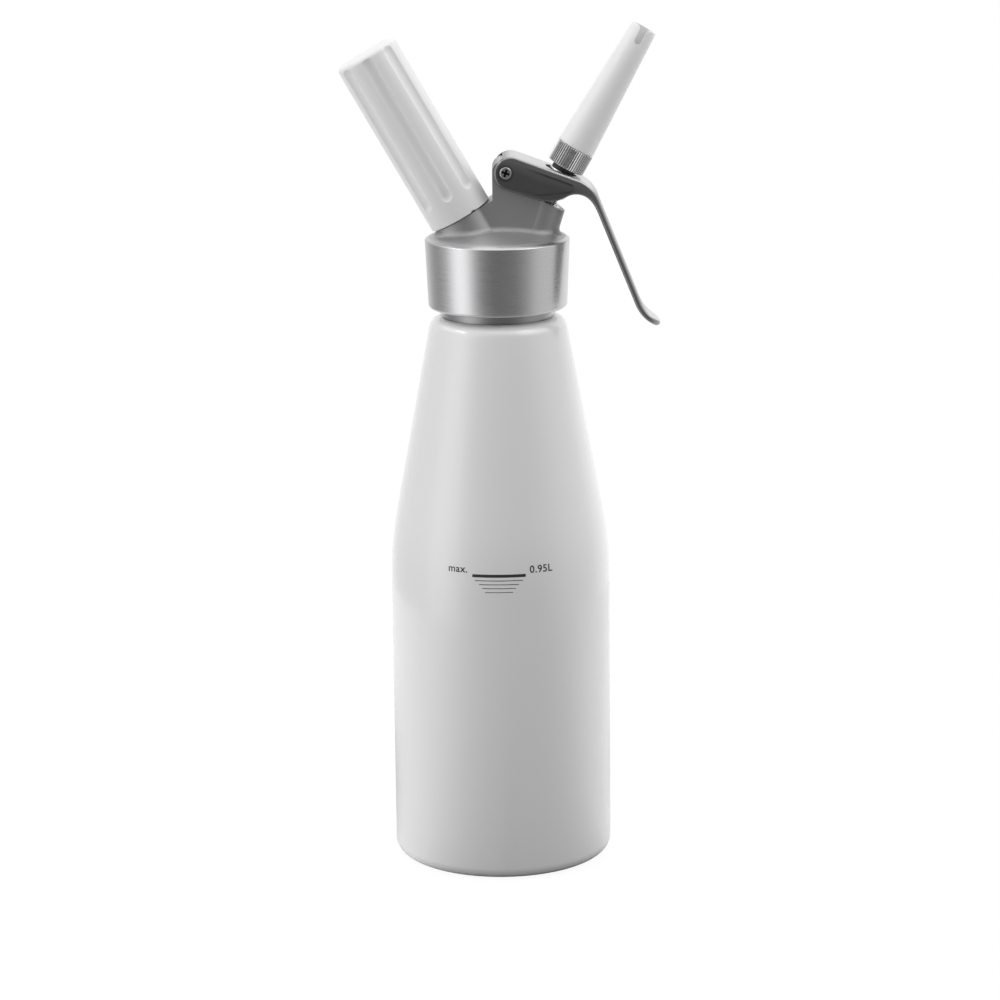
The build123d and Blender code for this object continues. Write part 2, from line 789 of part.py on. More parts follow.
with BuildSketch(lever_side) as cheek_outline:
    with BuildLine():
        ThreePointArc(
            (pivot_end_x, pivot_end_w + pivot_end_radius),
            (pivot_end_x - pivot_end_radius, pivot_end_w),
            (pivot_end_x, pivot_end_w - pivot_end_radius),
        )
        cheek_edge = Line((pivot_end_x, pivot_end_w - pivot_end_radius), cheek_foot)
        cheek_sweep = TangentArc(cheek_foot, cheek_turn, tangent=cheek_edge % 1)
        Spline(cheek_turn, cheek_crest, cheek_merge, tangents=[cheek_sweep % 1, strap_run])
        Polyline(cheek_merge, web_bend_end, web_bend_start, (pivot_end_x, web_top))
    make_face()

with BuildSketch(lever_side) as cheek_opening:
    add(cheek_outline.sketch_local)
    add(web_outline.sketch_local, mode=Mode.SUBTRACT)

with BuildPart() as cheek_dishes:
    dish_rim = web_underside
    with BuildSketch(lever_side):
        with BuildLine():
            FilletPolyline(
                (0, dish_rim),
                (cheek_crest[0], dish_rim),
                (cheek_turn[0], cheek_turn[1] + cheek_border),
                (cheek_foot[0], cheek_foot[1] + cheek_border),
                (0, cheek_foot[1] + cheek_border),
                radius=(cheek_border, 2 * cheek_border, 2 * cheek_border),
            )
            Line((0, cheek_foot[1] + cheek_border), (0, dish_rim))
        make_face()
    extrude(amount=2 * lever_half_width, both=True)
    with BuildSketch(lever_web):
        for side in (-1, 1):
            with BuildLine():
                Polyline(
                    (dish_start, side * lever_half_width),
                    (dish_full, side * (lever_half_width - dish_depth_full)),
                    (2 * web_length, side * (lever_half_width - dish_depth_full)),
                    (2 * web_length, side * 3 * lever_half_width),
                    (dish_start, side * 3 * lever_half_width),
                    close=True,
                )
            make_face()
    extrude(amount=grip_length, both=True, mode=Mode.INTERSECT)

with BuildPart() as lever:
    extrude(web_outline.sketch, amount=lever_half_width, both=True)
    extrude(cheek_outline.sketch, amount=lever_half_width, both=True)
    with BuildSketch(grip_plane):
        with BuildLine():
            FilletPolyline(
                (-grip_length, lever_half_width),
                (0, lever_half_width),
                (grip_run, grip_end_half_width),
                (grip_run, -grip_end_half_width),
                (0, -lever_half_width),
                (-grip_length, -lever_half_width),
                radius=(grip_length, grip_end_round, grip_end_round, grip_length),
            )
            Line((-grip_length, -lever_half_width), (-grip_length, lever_half_width))
        make_face()
    extrude(amount=grip_length, both=True, mode=Mode.INTERSECT)
    side_faces = lever.faces().filter_by(lambda face: abs(face.normal_at().Y) > cos(radians(web_slope)))
    rims = side_faces.edges().filter_by(Axis(valve_origin, grip_plane.z_dir), reverse=True)
    fillet(rims, lever_edge_round)
    extrude(cheek_opening.sketch, amount=lever_inner_half, both=True, mode=Mode.SUBTRACT)
    add(cheek_dishes.part, mode=Mode.SUBTRACT)

    # slot in the web round the valve's neck
    with BuildSketch(lever_web.offset(web_top)):
        with Locations((web_hole_u, 0)):
            SlotCenterToCenter(lever_hole_stretch, 2 * (washer_radius + lever_hole_room))
    extrude(amount=-strap_thickness, mode=Mode.SUBTRACT)

    for side in (-1, 1):
        # peg that presses the valve's flange
        with BuildSketch(lever_side.offset(side * peg_reach)):
            with Locations((peg_centre.X, peg_centre.Y)):
                Circle(peg_radius)
        extrude(amount=side * (lever_inner_half - peg_reach))
        # round recess for the screw's head, and the hole for its shoulder
        with BuildSketch(lever_side.offset(side * lever_half_width)):
            Circle(screw_head_radius + screw_recess_room)
        extrude(amount=-side * screw_recess_depth, mode=Mode.SUBTRACT)
    with BuildSketch(lever_side):
        Circle(screw_shoulder_radius + running_room)
    extrude(amount=lever_half_width, both=True, mode=Mode.SUBTRACT)
lever.part.label = "lever"
export_step(lever.part, "parts/lever.step")

# ------------------------------------------------ pivot screws and washers, a pair of each
with BuildPart() as pivot_screws:
    recess_floor = lever_half_width - screw_recess_depth
    for side in (-1, 1):
        steps = [
            (screw_thread_radius, tower_half_width - screw_thread_length, tower_half_width),
            (screw_shoulder_radius, tower_half_width, recess_floor + seat_room),
            (screw_head_radius, recess_floor + seat_room, recess_floor + seat_room + screw_head_height),
        ]
        for radius, inner, outer in steps:
            with BuildSketch(lever_side.offset(side * inner)):
                Circle(radius)
            extrude(amount=side * (outer - inner))
    head_rims = pivot_screws.edges().filter_by(GeomType.CIRCLE).group_by(Axis.Y)
    fillet(head_rims[0] + head_rims[-1], screw_edge_round)
    for side in (-1, 1):
        with BuildSketch(lever_side.offset(side * (recess_floor + seat_room + screw_head_height))):
            Rectangle(screw_cross_length, screw_cross_width)
            Rectangle(screw_cross_width, screw_cross_length)
        extrude(amount=-side * screw_cross_depth, mode=Mode.SUBTRACT)
pivot_screws.part.label = "pivot_screws"
export_step(pivot_screws.part, "parts/pivot_screws.step")

with BuildPart() as pivot_washers:
    for side in (-1, 1):
        with BuildSketch(lever_side.offset(side * tower_half_width)):
            Circle(washer_outer_radius)
            Circle(screw_shoulder_radius + press_room, mode=Mode.SUBTRACT)
        extrude(amount=side * (lever_inner_half - running_room - tower_half_width))
pivot_washers.part.label = "pivot_washers"
export_step(pivot_washers.part, "parts/pivot_washers.step")
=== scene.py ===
import json
import math

import bmesh
import bpy
from mathutils import Matrix, Vector
from mathutils.bvhtree import BVHTree


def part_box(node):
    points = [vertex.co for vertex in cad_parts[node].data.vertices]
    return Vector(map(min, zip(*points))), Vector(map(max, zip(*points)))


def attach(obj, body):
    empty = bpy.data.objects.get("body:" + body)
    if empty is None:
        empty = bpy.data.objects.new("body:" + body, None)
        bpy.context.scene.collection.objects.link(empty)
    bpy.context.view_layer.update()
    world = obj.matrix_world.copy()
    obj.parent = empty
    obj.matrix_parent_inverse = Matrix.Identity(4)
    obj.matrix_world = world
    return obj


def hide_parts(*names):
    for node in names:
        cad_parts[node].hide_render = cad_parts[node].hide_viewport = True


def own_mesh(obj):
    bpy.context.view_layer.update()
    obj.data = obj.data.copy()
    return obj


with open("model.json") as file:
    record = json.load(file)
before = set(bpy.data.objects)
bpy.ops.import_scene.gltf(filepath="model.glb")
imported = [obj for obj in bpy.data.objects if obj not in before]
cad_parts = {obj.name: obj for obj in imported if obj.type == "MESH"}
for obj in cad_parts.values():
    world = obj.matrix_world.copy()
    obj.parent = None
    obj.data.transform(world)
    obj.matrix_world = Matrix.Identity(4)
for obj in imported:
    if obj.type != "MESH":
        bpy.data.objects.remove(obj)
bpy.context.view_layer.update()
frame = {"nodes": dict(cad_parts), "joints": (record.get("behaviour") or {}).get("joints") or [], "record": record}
nodes = frame["nodes"]

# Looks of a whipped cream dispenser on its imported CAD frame. Everything is in metres, in the frame's own
# axes: the bottle stands on z = 0, the lever's grip points to +X, and the viewer stands at -Y.
MM = 0.001

# ------------------------------------------------ places on the object, from the frame
JOINTS = {joint["name"]: joint for joint in frame["joints"]}
FOOT = Vector((0.0, 0.0, 0.0))
UP = Vector((0.0, 0.0, 1.0))

BOTTLE_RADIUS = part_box("bottle")[1].x
HEAD_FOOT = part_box("head_housing")[0].z
SKIRT_HEIGHT = 29.8 * MM
SKIRT_TOP = HEAD_FOOT + SKIRT_HEIGHT
LACQUER_TOP = HEAD_FOOT - 3.9 * MM

# the valve and the gas inlet leave the head along slanted axes, each through the rim of its boss
VALVE_OFFSET = 11.7 * MM
VALVE_BOSS_HEIGHT = 19.3 * MM
VALVE_UP = -Vector(JOINTS["valve_travel"]["axis"]).normalized()
VALVE_RIM = Vector((VALVE_OFFSET, 0.0, SKIRT_TOP)) + VALVE_UP * VALVE_BOSS_HEIGHT
CHARGE_OFFSET = -9.7 * MM
CHARGE_BOSS_HEIGHT = 11.75 * MM
CHARGE_UP = Vector(JOINTS["holder_lift"]["axis"]).normalized()
CHARGE_RIM = Vector((CHARGE_OFFSET, 0.0, SKIRT_TOP)) + CHARGE_UP * CHARGE_BOSS_HEIGHT

PIVOT = Vector(JOINTS["lever_press"]["pos_m"])
LEVER_SLOPE = math.radians(20.5)
LEVER_ALONG = Vector((math.cos(LEVER_SLOPE), 0.0, -math.sin(LEVER_SLOPE)))
LEVER_RISE = Vector((math.sin(LEVER_SLOPE), 0.0, math.cos(LEVER_SLOPE)))
LEVER_HALF_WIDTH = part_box("lever")[1].y
SCREW_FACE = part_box("pivot_screws")[1].y

# ------------------------------------------------ sizes of the threads and of the spring
NECK_RADIUS = 22.6 * MM
NECK_PITCH = 3.0 * MM
NECK_RIDGE = 0.42 * MM
NECK_THREAD_LOW = HEAD_FOOT + 4.4 * MM
THREAD_ROOM = 0.9 * MM
NIPPLE_RADIUS = 10.4 * MM
SPIGOT_RADIUS = 5.6 * MM
FINE_RIDGE = 0.24 * MM
THREAD_END_SHARE = 0.02

SPRING_RADIUS = 4.55 * MM
SPRING_WIRE_RADIUS = 0.5 * MM
SPRING_TURNS = 6.5
SPRING_PLAY = 0.05 * MM
WELL_DEPTH = 7.0 * MM
FLANGE_HEIGHT = 4.0 * MM

# ------------------------------------------------ the printed fill mark
MARK_MIDDLE = math.radians(-0.95)
# the bar at the level and the lines under it: (height in mm, half its angle in degrees, thickness in mm)
MARK_LINES = [
    (138.6, 13.9, 1.3),
    (136.5, 12.4, 0.32),
    (134.8, 10.3, 0.3),
    (133.1, 8.7, 0.28),
    (131.35, 7.2, 0.26),
]
# (text, angle of its middle in degrees, height of its foot in mm)
MARK_WORDS = [("max.", -22.8, 139.8), ("0.95L", 21.4, 139.5)]
LETTER_SIZE = 4.5 * MM
LETTER_WEIGHT = 0.06 * MM
LETTER_SPACING = 1.08
INK_LIFT = 0.04 * MM

# ------------------------------------------------ light and camera
# What the room shines with round the object: (degrees from the viewer's side, positive to +X; radiance)
ROOM_RADIANCE = [
    (-180, 1.0),
    (-165, 0.92),
    (-150, 0.8),
    (-138, 0.6),
    (-117, 0.36),
    (-102, 0.42),
    (-88, 0.66),
    (-75, 1.35),
    (-63, 1.6),
    (-52, 1.4),
    (-42, 0.82),
    (-31, 0.38),
    (-21, 0.24),
    (-4, 0.17),
    (32, 0.23),
    (50, 0.42),
    (68, 0.71),
    (108, 0.77),
    (126, 1.0),
    (150, 1.05),
    (165, 1.02),
    (180, 1.0),
]
ROOM_PEAK = max(radiance for degrees, radiance in ROOM_RADIANCE)
CEILING_RADIANCE = 1.3
PANEL_RADIANCE = 1.9
HIGH_BACK_RADIANCE = 0.55
# where the walls turn into the high panels and those into the ceiling, as the z of a direction
PANELS_START, PANELS_FULL = 0.36, 0.58
CEILING_START, CEILING_FULL = 0.65, 0.92
# how far aside the high panels start to shine and shine fully, as the size of a direction's x
ASIDE_START, ASIDE_FULL = 0.35, 0.8

FLOOR_RADIUS = 0.48
FLOOR_GLOW = 1.03
FLOOR_GLOW_SHARE = 0.9
# the floor's colour for bounced light is painted darkest toward this azimuth, on the viewer's side, as painted
# shade, and lightest at the sides; the second pair of numbers is the cosine of the angle from that azimuth
FLOOR_DARK_AZIMUTH = math.radians(14)
FLOOR_MOST, FLOOR_LEAST = 0.85, 0.28
FLOOR_MOST_UNTIL, FLOOR_LEAST_FROM = 0.1, 0.95
# behind the object the floor is painted darker by this share as painted shade, which fades out from one distance
# to the other
FLOOR_BEHIND_SHARE = 0.62
FLOOR_FADE_START, FLOOR_FADE_END = 0.12, 0.42

CAMERA_PLACE = (0.0, -1.4785, 0.5193)
CAMERA_PITCH = math.radians(13.63)
CAMERA_ROLL = math.radians(0.62)
CAMERA_LENS = 123.48
CAMERA_SENSOR = 36.0


# ------------------------------------------------ small node-tree helpers
def grey(level, blue=0.0):
    """A nearly neutral colour, with a little more blue in it, or less."""
    return (level, level, level + blue, 1.0)


class Graph:
    """A node tree, with short ways to add nodes. A value is a constant or another node's socket."""

    def __init__(self, tree):
        self.tree = tree

    def node(self, kind, values=(), **settings):
        """A new node, its settings made first and its inputs fed from (socket, value) pairs."""
        made = self.tree.nodes.new(kind)
        for key, value in settings.items():
            setattr(made, key, value)
        for socket, value in values:
            self.feed(made.inputs[socket], value)
        return made

    def feed(self, socket, value):
        if isinstance(value, bpy.types.NodeSocket):
            self.tree.links.new(value, socket)
        else:
            socket.default_value = value

    def math(self, operation, *values):
        return self.node("ShaderNodeMath", enumerate(values), operation=operation).outputs[0]

    def vector(self, operation, *values):
        """The outputs of a vector operation, Vector and Value."""
        return self.node("ShaderNodeVectorMath", enumerate(values), operation=operation).outputs

    def parts(self, vector):
        """The x, y and z of a vector."""
        return tuple(self.node("ShaderNodeSeparateXYZ", [(0, vector)]).outputs)

    def between(self, value, low, high, start=0.0, end=1.0, shape="LINEAR"):
        """Goes from low to high while the value goes from start to end, and stays level on both sides."""
        span = [("Value", value), ("From Min", start), ("From Max", end), ("To Min", low), ("To Max", high)]
        return self.node("ShaderNodeMapRange", span, interpolation_type=shape).outputs["Result"]

    def rises(self, value, start, end):
        """A straight ramp from 0 to 1."""
        return self.between(value, 0.0, 1.0, start, end)

    def eases(self, value, start, end, low=0.0, high=1.0):
        """A ramp from low to high that starts and ends gently."""
        return self.between(value, low, high, start, end, shape="SMOOTHSTEP")

    def mix(self, factor, a, b, data_type="RGBA"):
        values = [("Factor", factor), ("A", a), ("B", b)]
        return self.node("ShaderNodeMix", values, data_type=data_type).outputs["Result"]

    def mix_shaders(self, factor, a, b):
        return self.node("ShaderNodeMixShader", [(0, factor), (1, a), (2, b)]).outputs[0]


class Finish(Graph):
    """A procedural material: a Principled shader, with helpers for what varies over the surface."""

    def __init__(self, name, color, roughness, metallic=0.0, **sockets):
        self.material = bpy.data.materials.new(name)
        self.material.use_nodes = True
        super().__init__(self.material.node_tree)
        self.shader = self.tree.nodes["Principled BSDF"]
        self.to("Base Color", color)
        self.to("Roughness", roughness)
        self.to("Metallic", metallic)
        for socket, value in sockets.items():
            self.to(socket.replace("_", " "), value)
        coords = self.node("ShaderNodeTexCoord").outputs
        self.place, self.facing = coords["Object"], coords["Normal"]

    def to(self, socket, value):
        self.feed(self.shader.inputs[socket], value)

    def noise(self, scale, detail=2.0, tightness=(1.0, 1.0, 1.0)):
        """Noise with scale spots to the metre, times its tightness along each axis."""
        place = self.vector("MULTIPLY", self.place, tightness)["Vector"]
        spots = self.node("ShaderNodeTexNoise", [("Vector", place), ("Scale", scale), ("Detail", detail)])
        return spots.outputs["Fac"]

    def lever_place(self):
        """Distances from the pivot along the lever's top and square to it, on the object at rest."""
        offset = self.vector("SUBTRACT", self.place, PIVOT)["Vector"]
        return [self.vector("DOT_PRODUCT", offset, way)["Value"] for way in (LEVER_ALONG, LEVER_RISE)]

    def depth_from(self, half_width):
        """How far a point lies in from the nearer of the two planes at y = plus or minus half_width."""
        return self.math("SUBTRACT", half_width, self.math("ABSOLUTE", self.parts(self.place)[1]))

    def bump(self, height, strength, distance, under=None):
        """The normal of a surface with small relief, laid over an earlier bump where there is one."""
        values = [("Height", height), ("Strength", strength), ("Distance", distance)]
        if under is not None:
            values.append(("Normal", under))
        return self.node("ShaderNodeBump", values).outputs["Normal"]


# ------------------------------------------------ finishes
def lacquered_bottle():
    """Glossy white lacquer, and bare spun aluminium on the neck above the line where the lacquer stops; the neck's
    dark grey is partly painted shade from the head's skirt over it.
    """
    look = Finish("lacquered_bottle", grey(0.83), 0.2, Coat_Weight=1.0, Coat_Roughness=0.05)
    bare = look.math("GREATER_THAN", look.parts(look.place)[2], LACQUER_TOP)
    paint = look.mix(look.noise(14.0, detail=3.0), grey(0.85), grey(0.87, 0.002))
    # the bare neck's dark grey is partly the metal and partly painted shade under the skirt
    look.to("Base Color", look.mix(bare, paint, grey(0.36, 0.005)))
    look.to("Metallic", bare)
    look.to("Roughness", look.between(bare, 0.2, 0.45))
    peel = look.bump(look.noise(900.0, detail=1.0), 0.04, 0.02 * MM)
    rings = look.math("MULTIPLY", look.noise(40.0, tightness=(1.0, 1.0, 60.0)), bare)
    look.to("Normal", look.bump(rings, 0.25, 0.05 * MM, under=peel))
    return look.material


def brushed_skirt():
    """Turned and brushed metal: fine lines round the axis that draw reflections out upwards."""
    look = Finish(
        "brushed_skirt", grey(0.60, 0.01), 0.28, metallic=1.0, Anisotropic=0.45, Anisotropic_Rotation=0.25
    )
    look.to("Tangent", look.node("ShaderNodeTangent", direction_type="RADIAL", axis="Z").outputs[0])
    lines = look.noise(70.0, detail=3.0, tightness=(1.0, 1.0, 90.0))
    grain = look.noise(1500.0, tightness=(1.0, 1.0, 6.0))
    look.to("Base Color", look.mix(lines, grey(0.54, 0.01), grey(0.66, 0.01)))
    look.to("Roughness", look.between(look.math("MULTIPLY", lines, grain), 0.26, 0.38, 0.15, 0.4))
    look.to("Normal", look.bump(lines, 0.06, 0.03 * MM, under=look.bump(grain, 0.05, 0.01 * MM)))
    return look.material


def blasted_casting():
    """Bead-blasted cast metal, finer on the dome, which faces up, than on the tower's sides, and painted brighter
    there as painted light from above.
    """
    look = Finish("blasted_casting", grey(0.42, 0.005), 0.55, metallic=1.0)
    cloud = look.noise(45.0, detail=3.0)
    dome = look.rises(look.parts(look.facing)[2], 0.7, 0.95)
    matt = look.mix(cloud, grey(0.40, 0.005), grey(0.44, 0.005))
    # painted light: faces that look up are painted lighter
    look.to("Base Color", look.mix(dome, matt, grey(0.6)))
    polish = look.math("SUBTRACT", dome, look.math("MULTIPLY", cloud, 0.3))
    look.to("Roughness", look.between(polish, 0.58, 0.46, -0.2, 0.8))
    look.to("Normal", look.bump(look.noise(2600.0), 0.3, 0.04 * MM))
    return look.material


def lever_coat():
    """Dark metallic coating on the cheeks, with painted light: a painted sheen lighter up the cheeks, a painted
    highlight on the strap, the lightest painted highlight on faces that look up, and painted shade in the cheek's
    dish.
    """
    look = Finish("lever_coat", grey(0.22, 0.003), 0.33, metallic=1.0)
    along, rise = look.lever_place()
    # the strap lies over the cheeks, and past their end it is all there is
    over_cheeks = look.rises(rise, 5.15 * MM, 5.3 * MM)
    past_cheeks = look.rises(along, 31.0 * MM, 39.0 * MM)
    strap = look.math("MAXIMUM", over_cheeks, past_cheeks)
    # painted shade in the cheek's dish, under the strap's edge
    dish = look.between(look.depth_from(LEVER_HALF_WIDTH), 0.0, 0.85, 0.1 * MM, 0.8 * MM)
    painted_groove_shade = look.math("MULTIPLY", dish, look.rises(rise, 3.7 * MM, 5.1 * MM))
    # painted sheen: the cheeks are painted lighter towards the strap
    painted_cheek_sheen = look.mix(look.rises(rise, 1.0 * MM, 5.2 * MM), grey(0.205, 0.003), grey(0.32, 0.003))
    cheek = look.mix(painted_groove_shade, painted_cheek_sheen, grey(0.05))
    wear = look.noise(30.0, detail=3.0)
    # painted highlight: the strap is painted lighter than the cheeks, with random tone in it
    strap_highlight_and_tone = look.mix(wear, grey(0.33, 0.003), grey(0.37, 0.003))
    # painted highlight: faces that look up along the lever's rise are painted much lighter
    top = look.rises(look.vector("DOT_PRODUCT", look.facing, LEVER_RISE)["Value"], 0.75, 0.95)
    look.to("Base Color", look.mix(strap, cheek, look.mix(top, strap_highlight_and_tone, grey(0.7))))
    look.to("Roughness", look.between(wear, 0.30, 0.38, 0.3, 0.7))
    look.to("Normal", look.bump(look.noise(3000.0), 0.25, 0.03 * MM))
    return look.material


def cross_screw():
    """Plated screw with the bottom of its cross recess painted near black as painted shade, and rougher there."""
    look = Finish("cross_screw", grey(0.50, 0.01), 0.3, metallic=1.0)
    recess_depth, recess_radius = 0.15 * MM, 1.78 * MM
    x, y, z = look.parts(look.vector("SUBTRACT", look.place, PIVOT)["Vector"])
    radius = look.math("SQRT", look.math("ADD", look.math("MULTIPLY", x, x), look.math("MULTIPLY", z, z)))
    sunk = look.math("GREATER_THAN", look.depth_from(SCREW_FACE), recess_depth)
    shaded_recess = look.math("MULTIPLY", sunk, look.math("LESS_THAN", radius, recess_radius))
    spots = look.noise(700.0)
    # painted shade at the bottom of the cross recess
    look.to("Base Color", look.mix(shaded_recess, look.mix(spots, grey(0.46, 0.01), grey(0.56, 0.01)), grey(0.04)))
    look.to("Roughness", look.between(shaded_recess, 0.28, 0.7))
    look.to("Normal", look.bump(spots, 0.12, 0.02 * MM))
    return look.material


def turned_metal(name, color, roughness):
    """Plain machined metal with faint variation in its polish."""
    look = Finish(name, color, roughness, metallic=1.0)
    spots = look.noise(700.0)
    look.to("Roughness", look.between(spots, roughness * 0.8, roughness * 1.25, 0.3, 0.7))
    look.to("Normal", look.bump(spots, 0.12, 0.02 * MM))
    return look.material


def moulded_plastic(name, color, roughness, grain):
    """Moulded plastic: a faint moulding texture under soft gloss, and light that sinks in a little."""
    look = Finish(
        name, color, roughness,
        Subsurface_Weight=0.4, Subsurface_Scale=2.5 * MM, Subsurface_Radius=(1.0, 1.0, 1.0),
    )
    look.to("Roughness", look.between(look.noise(60.0), roughness * 0.9, roughness * 1.15, 0.3, 0.7))
    look.to("Normal", look.bump(look.noise(grain), 0.08, 0.02 * MM))
    return look.material


def seal_rubber():
    """Black rubber with a little dust on it."""
    look = Finish("seal_rubber", grey(0.018), 0.55)
    dust = look.noise(900.0, detail=3.0)
    look.to("Base Color", look.mix(dust, grey(0.014), grey(0.03)))
    look.to("Normal", look.bump(dust, 0.15, 0.02 * MM))
    return look.material


def mark_ink():
    """Nearly black printing ink, unevenly laid on."""
    look = Finish("mark_ink", grey(0.03), 0.4)
    look.to("Base Color", look.mix(look.noise(900.0), grey(0.022), grey(0.045)))
    return look.material


finishes = {
    "bottle_lacquer": lacquered_bottle(),
    "head_metal": brushed_skirt(),
    "lever_metal": lever_coat(),
    "seal_rubber": seal_rubber(),
    "plated_steel": turned_metal("plated_steel", grey(0.66, 0.01), 0.28),
    "chrome_parts": turned_metal("chrome_parts", grey(0.80, 0.01), 0.07),
    "knurled_steel": turned_metal("knurled_steel", grey(0.70), 0.2),
    "screw_steel": cross_screw(),
    "spring_steel": turned_metal("spring_steel", grey(0.5, 0.01), 0.25),
    "washer_plastic": moulded_plastic("washer_plastic", grey(0.75, -0.02), 0.45, 2500.0),
    "white_plastic": moulded_plastic("white_plastic", grey(0.87), 0.34, 2200.0),
}


# ------------------------------------------------ the frame's nodes
def smooth_node(obj, sharp_angle=math.radians(28)):
    """Shades a CAD node smoothly across its facets and keeps its real edges sharp."""
    obj.data.shade_smooth()
    weld = obj.modifiers.new("weld", "WELD")
    weld.merge_threshold = 0.001 * MM
    split = obj.modifiers.new("edges", "EDGE_SPLIT")
    split.split_angle = sharp_angle


def dress_nodes():
    """Gives each CAD node the finish of its material slot."""
    slots = {entry["node"]: entry["material_slot"] for entry in frame["record"]["subparts"]}
    for name, obj in nodes.items():
        obj.data.materials.clear()
        obj.data.materials.append(finishes[slots[name]])
        smooth_node(obj)


def blast_head(above_skirt=0.2 * MM):
    """The head's faces over the skirt's shoulder are the blasted part of the same casting."""
    head = nodes["head_housing"]
    head.data.materials.append(blasted_casting())
    for face in head.data.polygons:
        heights = [(head.matrix_world @ head.data.vertices[i].co).z for i in face.vertices]
        if min(heights) > SKIRT_TOP + above_skirt:
            face.material_index = 1


# ------------------------------------------------ pieces of the scene's own
def add_piece(name, points, faces, finish, body, smooth=True):
    mesh = bpy.data.meshes.new(name)
    mesh.from_pydata([tuple(p) for p in points], [], faces)
    mesh.validate()
    if smooth:
        mesh.shade_smooth()
    mesh.materials.append(finish)
    obj = bpy.data.objects.new(name, mesh)
    bpy.context.scene.collection.objects.link(obj)
    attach(obj, body)
    return obj


def across(up):
    """Two unit vectors square to an axis and to each other."""
    side = Vector((0.0, 1.0, 0.0)).cross(up).normalized()
    return side, up.cross(side).normalized()


def wound(section, origin, up, radius, pitch, low, turns, fade=0.25, steps=64):
    """A section wound round an axis, in steps to the turn. It is a list of (outwards, along) points, and it
    shrinks to nearly nothing over fade turns at both ends."""
    side, other = across(up)
    count = int(turns * steps)
    points, faces = [], []
    for i in range(count + 1):
        turned = i / steps
        angle = 2 * math.pi * turned
        full = min(1.0, turned / fade, (turns - turned) / fade) if fade else 1.0
        full = max(full, THREAD_END_SHARE)
        out = side * math.cos(angle) + other * math.sin(angle)
        for outwards, along in section:
            points.append(origin + out * (radius + outwards * full) + up * (low + pitch * turned + along))
    size = len(section)
    for i in range(count):
        for j in range(size):
            k = (j + 1) % size
            faces.append((i * size + j, i * size + k, (i + 1) * size + k, (i + 1) * size + j))
    faces.append(tuple(range(size))[::-1])
    faces.append(tuple(count * size + j for j in range(size)))
    return points, faces


def thread(name, origin, up, radius, height, pitch, low, turns, finish, body):
    """The ridge of a screw thread, standing out by height, or inwards where height is negative. Its foot is
    sunk a little into the wall that it stands on."""
    root, crest = 0.42 * pitch, 0.14 * pitch
    sunk = math.copysign(0.2 * MM, -height)
    section = [(sunk, -root), (0.0, -root), (height, -crest), (height, crest), (0.0, root), (sunk, root)]
    add_piece(name, *wound(section, origin, up, radius, pitch, low, turns), finish, body, smooth=False)


def screw_threads():
    """The ridges of the neck and the head, half a pitch apart, and those of the nipple and the spigot."""
    bare_neck = turned_metal("bare_neck", grey(0.66, 0.01), 0.26)
    thread(
        "neck_thread", FOOT, UP, NECK_RADIUS, NECK_RIDGE, NECK_PITCH,
        low=NECK_THREAD_LOW, turns=3.9, finish=bare_neck, body="bottle",
    )
    thread(
        "head_thread", FOOT, UP, NECK_RADIUS + THREAD_ROOM, -NECK_RIDGE, NECK_PITCH,
        low=NECK_THREAD_LOW + NECK_PITCH / 2, turns=3.2, finish=bare_neck, body="head",
    )
    thread(
        "nipple_thread", CHARGE_RIM, CHARGE_UP, NIPPLE_RADIUS, FINE_RIDGE, pitch=1.5 * MM,
        low=1.2 * MM, turns=5.6, finish=finishes["plated_steel"], body="head",
    )
    thread(
        "spigot_thread", VALVE_RIM, VALVE_UP, SPIGOT_RADIUS, FINE_RIDGE, pitch=1.25 * MM,
        low=27.3 * MM, turns=4.6, finish=finishes["knurled_steel"], body="valve",
    )


def coil_spring(corners=10):
    """The valve's return spring, wound between its well and the stem's flange, in place of the frame's
    return_spring, which is hidden.
    """
    wire = SPRING_WIRE_RADIUS
    seat = SPRING_PLAY - WELL_DEPTH
    low, high = seat + wire, FLANGE_HEIGHT - SPRING_PLAY - wire
    angles = [2 * math.pi * k / corners for k in range(corners)]
    section = [(wire * math.cos(angle), wire * math.sin(angle)) for angle in angles]
    pitch = (high - low) / SPRING_TURNS
    coils = wound(section, VALVE_RIM, VALVE_UP, SPRING_RADIUS, pitch, low, SPRING_TURNS, fade=0.0, steps=40)
    spring = add_piece("coil_spring", *coils, finishes["spring_steel"], "head")
    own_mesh(spring)
    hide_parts("return_spring")


def bottle_finder():
    """Gives a function that finds the place just over the bottle's skin at an angle and a height."""
    surface = BVHTree.FromObject(nodes["bottle"], bpy.context.evaluated_depsgraph_get())
    from_bottle = nodes["bottle"].matrix_world
    to_bottle = from_bottle.inverted()

    def on_bottle(angle, z):
        out = Vector((math.sin(angle), -math.cos(angle), 0.0))
        start = to_bottle @ (out * 2 * BOTTLE_RADIUS + Vector((0.0, 0.0, z)))
        hit = surface.ray_cast(start, (to_bottle.to_3x3() @ -out).normalized())[0]
        return from_bottle @ hit + out * INK_LIFT

    return on_bottle


def letters(text):
    """A flat mesh of a word, its foot on y = 0 and its middle on x = 0."""
    curve = bpy.data.curves.new("letters", "FONT")
    curve.body = text
    curve.size = LETTER_SIZE
    curve.offset = LETTER_WEIGHT
    curve.align_x = "CENTER"
    curve.space_character = LETTER_SPACING
    drawn = bpy.data.objects.new("letters", curve)
    bpy.context.scene.collection.objects.link(drawn)
    flat = bpy.data.meshes.new_from_object(drawn.evaluated_get(bpy.context.evaluated_depsgraph_get()))
    bpy.data.objects.remove(drawn)
    bpy.data.curves.remove(curve)
    return flat


